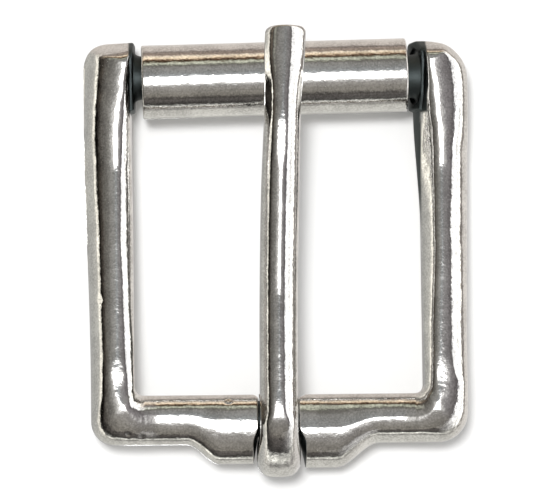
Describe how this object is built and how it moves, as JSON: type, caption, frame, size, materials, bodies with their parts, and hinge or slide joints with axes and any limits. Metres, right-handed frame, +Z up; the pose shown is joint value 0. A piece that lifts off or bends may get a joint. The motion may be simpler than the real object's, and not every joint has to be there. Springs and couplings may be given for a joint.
{
  "type": "roller belt buckle",
  "caption": "Polished heel-bar belt buckle: rectangular cast frame with domed bars, a loose roller on its spindle and a curled tongue, for a 38 mm strap.",
  "frame": {"origin": "below the middle of the whole buckle, on the surface that it lies on", "axes": "+X along the roller, +Y from the heel bar to the roller, +Z up out of the domed front"},
  "size_m": [0.053, 0.0614, 0.0128],
  "materials": {
    "frame_metal": "mirror polish with fine scratches and casting pits; dark cast skin on the spindle and the ears' inner walls",
    "roller_metal": "mirror polish with faint drawing lines along the tube",
    "tongue_metal": "mirror polish with fine scratches"
  },
  "bodies": {
    "frame": {"buckle_frame": "frame_metal"},
    "tongue": {"tongue": "tongue_metal"},
    "roller": {"roller": "roller_metal"}
  },
  "joints": [
    {"name": "tongue_swing", "type": "hinge", "parent": "frame", "child": "tongue", "pos_m": [0, -0.02262, 0.00505], "axis": [1, 0, 0], "range_deg": [0, 170]},
    {"name": "roller_spin", "type": "hinge", "parent": "frame", "child": "roller", "pos_m": [0, 0.02417, 0.00505], "axis": [0.9997, 0.0227, 0], "continuous": true}
  ]
}
